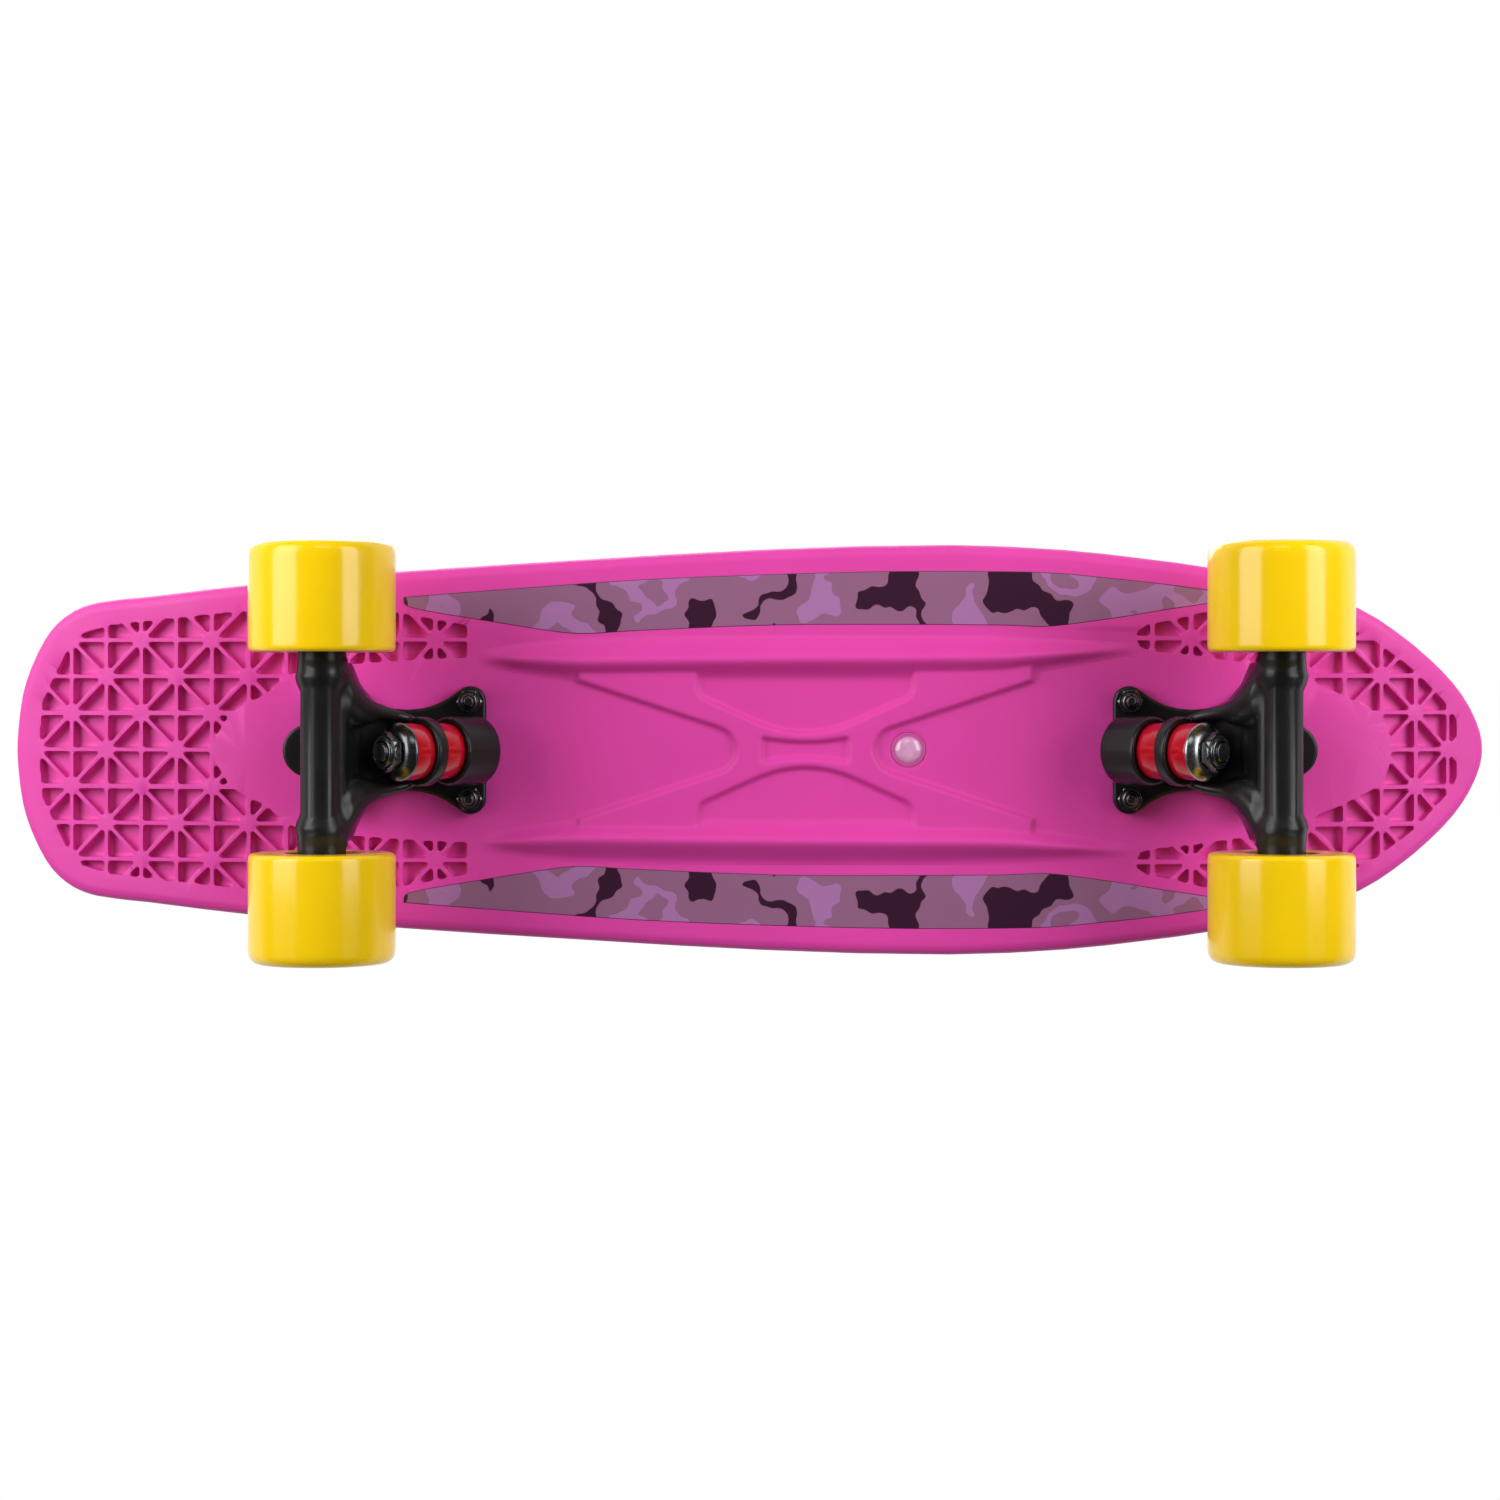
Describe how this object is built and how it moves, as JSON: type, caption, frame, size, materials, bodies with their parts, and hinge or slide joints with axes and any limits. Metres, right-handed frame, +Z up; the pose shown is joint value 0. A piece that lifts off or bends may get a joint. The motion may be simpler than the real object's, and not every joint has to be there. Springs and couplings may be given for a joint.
{
  "type": "cruiser skateboard",
  "caption": "Short moulded plastic cruiser skateboard with a ribbed underside, bent-up ends, sprung steering trucks and wide urethane wheels.",
  "frame": {"origin": "on the floor under the middle of the deck, where the wheels stand", "axes": "+X towards the pointed nose, +Y to the left across the deck, +Z up, standing on its wheels"},
  "size_m": [0.6361, 0.1756, 0.1173],
  "materials": {
    "deck_plastic": "satin moulded, magenta pink",
    "printed_film": "semi-gloss printed film, mauve and plum",
    "clear_dome": "clear gloss dome over a pale ground",
    "black_casting": "satin black powder coat on cast alloy",
    "red_urethane": "glossy cast urethane",
    "black_urethane": "satin moulded urethane",
    "yellow_urethane": "glossy cast urethane",
    "steel": "bright zinc plate",
    "bearing_steel": "ground steel",
    "black_steel": "black oxide",
    "bright_steel": "bright chrome plate"
  },
  "bodies": {
    "deck": {"deck": "deck_plastic", "left_film_strip": "printed_film", "right_film_strip": "printed_film", "badge": "clear_dome", "tail_base_plate": "black_casting", "tail_pivot_cup": "black_urethane", "tail_kingpin": "black_steel", "tail_kingpin_nut": "black_steel", "tail_board_bushing": "red_urethane", "tail_road_bushing": "red_urethane", "tail_road_washer": "black_steel", "tail_mount_bolt_1": "black_steel", "tail_mount_nut_1": "black_steel", "tail_mount_bolt_2": "black_steel", "tail_mount_nut_2": "black_steel", "tail_mount_bolt_3": "black_steel", "tail_mount_nut_3": "black_steel", "tail_mount_bolt_4": "black_steel", "tail_mount_nut_4": "black_steel", "nose_base_plate": "black_casting", "nose_pivot_cup": "black_urethane", "nose_kingpin": "black_steel", "nose_kingpin_nut": "black_steel", "nose_board_bushing": "red_urethane", "nose_road_bushing": "red_urethane", "nose_road_washer": "bright_steel", "nose_mount_bolt_1": "black_steel", "nose_mount_nut_1": "black_steel", "nose_mount_bolt_2": "black_steel", "nose_mount_nut_2": "black_steel", "nose_mount_bolt_3": "black_steel", "nose_mount_nut_3": "black_steel", "nose_mount_bolt_4": "black_steel", "nose_mount_nut_4": "black_steel"},
    "tail_left_wheel": {"tail_left_wheel": "yellow_urethane", "tail_left_inner_bearing": "bearing_steel", "tail_left_outer_bearing": "bearing_steel"},
    "tail_right_wheel": {"tail_right_wheel": "yellow_urethane", "tail_right_inner_bearing": "bearing_steel", "tail_right_outer_bearing": "bearing_steel"},
    "tail_hanger": {"tail_hanger": "black_casting", "tail_axle": "steel", "tail_left_speed_washer": "steel", "tail_left_axle_nut": "steel", "tail_right_speed_washer": "steel", "tail_right_axle_nut": "steel"},
    "nose_left_wheel": {"nose_left_wheel": "yellow_urethane", "nose_left_inner_bearing": "bearing_steel", "nose_left_outer_bearing": "bearing_steel"},
    "nose_right_wheel": {"nose_right_wheel": "yellow_urethane", "nose_right_inner_bearing": "bearing_steel", "nose_right_outer_bearing": "bearing_steel"},
    "nose_hanger": {"nose_hanger": "black_casting", "nose_axle": "steel", "nose_left_speed_washer": "steel", "nose_left_axle_nut": "steel", "nose_right_speed_washer": "steel", "nose_right_axle_nut": "steel"}
  },
  "joints": [
    {"name": "tail_steer", "type": "hinge", "parent": "deck", "child": "tail_hanger", "pos_m": [-0.1855, 0, 0.076], "axis": [0.8813, 0, -0.4727], "range_deg": [-12, 12], "stiffness_Nm_per_rad": 40, "deforming": ["tail_board_bushing", "tail_road_bushing"]},
    {"name": "nose_steer", "type": "hinge", "parent": "deck", "child": "nose_hanger", "pos_m": [0.2278, 0, 0.076], "axis": [-0.8813, 0, -0.4727], "range_deg": [-12, 12], "stiffness_Nm_per_rad": 40, "deforming": ["nose_board_bushing", "nose_road_bushing"]},
    {"name": "tail_left_wheel_spin", "type": "hinge", "parent": "tail_hanger", "child": "tail_left_wheel", "pos_m": [-0.175, 0.0635, 0.03], "axis": [0, 1, 0], "continuous": true},
    {"name": "tail_right_wheel_spin", "type": "hinge", "parent": "tail_hanger", "child": "tail_right_wheel", "pos_m": [-0.175, -0.0635, 0.03], "axis": [0, 1, 0], "continuous": true},
    {"name": "nose_left_wheel_spin", "type": "hinge", "parent": "nose_hanger", "child": "nose_left_wheel", "pos_m": [0.2173, 0.0635, 0.03], "axis": [0, 1, 0], "continuous": true},
    {"name": "nose_right_wheel_spin", "type": "hinge", "parent": "nose_hanger", "child": "nose_right_wheel", "pos_m": [0.2173, -0.0635, 0.03], "axis": [0, 1, 0], "continuous": true}
  ]
}
